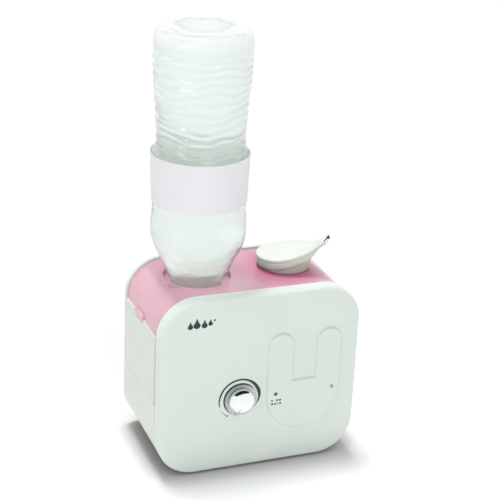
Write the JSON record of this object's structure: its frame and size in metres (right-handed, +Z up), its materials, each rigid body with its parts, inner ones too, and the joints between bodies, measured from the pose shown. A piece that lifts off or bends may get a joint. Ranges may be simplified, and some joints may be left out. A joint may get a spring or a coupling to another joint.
{
  "type": "cool mist humidifier",
  "caption": "Small desktop ultrasonic cool mist humidifier: white rounded casing, pink translucent top, upturned water bottle, swivelling mist nozzle, turn knob.",
  "frame": {"origin": "centre of the footprint box on the surface that the object stands on", "axes": "+X to the right seen from the front, +Y from the front face to the back, +Z up"},
  "size_m": [0.14, 0.09, 0.294],
  "materials": {
    "white_casing": "satin moulded ABS",
    "white_nozzle": "satin moulded ABS",
    "pink_cover": "translucent tinted",
    "clear_bottle": "clear blown bottle",
    "label_film": "printed film",
    "chrome_trim": "polished",
    "steel": "plain",
    "soft_rubber": "matt",
    "silicone": "matt",
    "inner_plastic": "plain",
    "black_plastic": "plain",
    "board": "solder mask",
    "lens": "clear tinted",
    "ceramic": "silvered ceramic",
    "aluminium_sink": "anodised",
    "foam": "open foam",
    "brass_nut": "nickelled"
  },
  "bodies": {
    "casing": {"base_housing": "white_casing", "board_parts": "black_plastic", "clamp_screws": "steel", "control_nut": "brass_nut", "disc_clamp": "inner_plastic", "disc_gasket": "silicone", "driver_board": "board", "dust_filter": "foam", "fan_frame": "black_plastic", "fan_screws": "steel", "float_clip": "inner_plastic", "front_panel": "white_casing", "heat_sink": "aluminium_sink", "indicator_leds": "lens", "inlet_pin": "steel", "level_light_lens": "lens", "level_switch": "black_plastic", "light_board": "board", "mist_disc": "ceramic", "panel_screws": "steel", "potentiometer": "black_plastic", "power_inlet": "black_plastic", "power_light_lens": "lens", "rear_panel": "white_casing", "rear_screws": "steel", "reservoir": "white_casing", "rubber_feet": "soft_rubber"},
    "top_cover": {"top_cover": "pink_cover"},
    "nozzle": {"nozzle_upper": "white_nozzle", "nozzle_lower": "white_nozzle"},
    "bottle": {"bottle": "clear_bottle", "bottle_label": "label_film", "valve_cap": "inner_plastic", "cap_washer": "silicone", "valve_cage": "inner_plastic", "valve_spring": "steel"},
    "valve_plunger": {"valve_plunger": "inner_plastic", "plunger_seal": "silicone"},
    "knob": {"knob": "chrome_trim", "knob_face": "chrome_trim", "knob_shaft": "steel"},
    "fan_rotor": {"fan_rotor": "black_plastic"},
    "level_float": {"level_float": "inner_plastic", "float_magnet": "steel"}
  },
  "joints": [
    {"name": "cover_lift", "type": "slide", "parent": "casing", "child": "top_cover", "axis": [0, 0, 1], "range_m": [0, 0.06]},
    {"name": "nozzle_turn", "type": "hinge", "parent": "top_cover", "child": "nozzle", "pos_m": [0.0329, 0.0083, 0.13], "axis": [0, 0, 1], "continuous": true},
    {"name": "bottle_lift", "type": "slide", "parent": "top_cover", "child": "bottle", "axis": [0, 0, 1], "range_m": [0, 0.05]},
    {"name": "valve_close", "type": "slide", "parent": "bottle", "child": "valve_plunger", "axis": [0, 0, 1], "range_m": [-0.004, 0], "deforming": ["valve_spring"]},
    {"name": "knob_turn", "type": "hinge", "parent": "casing", "child": "knob", "pos_m": [-0.0138, -0.0374, 0.0526], "axis": [0, 1, 0], "range_deg": [0, 280]},
    {"name": "fan_spin", "type": "hinge", "parent": "casing", "child": "fan_rotor", "pos_m": [0.014, 0.0153, 0.014], "axis": [0, 0, 1], "continuous": true},
    {"name": "float_rise", "type": "slide", "parent": "casing", "child": "level_float", "axis": [0, 0, 1], "range_m": [0, 0.016]}
  ],
  "couplings": [
    {"joint": "valve_close", "follows": "bottle_lift", "ratio": -0.08}
  ]
}
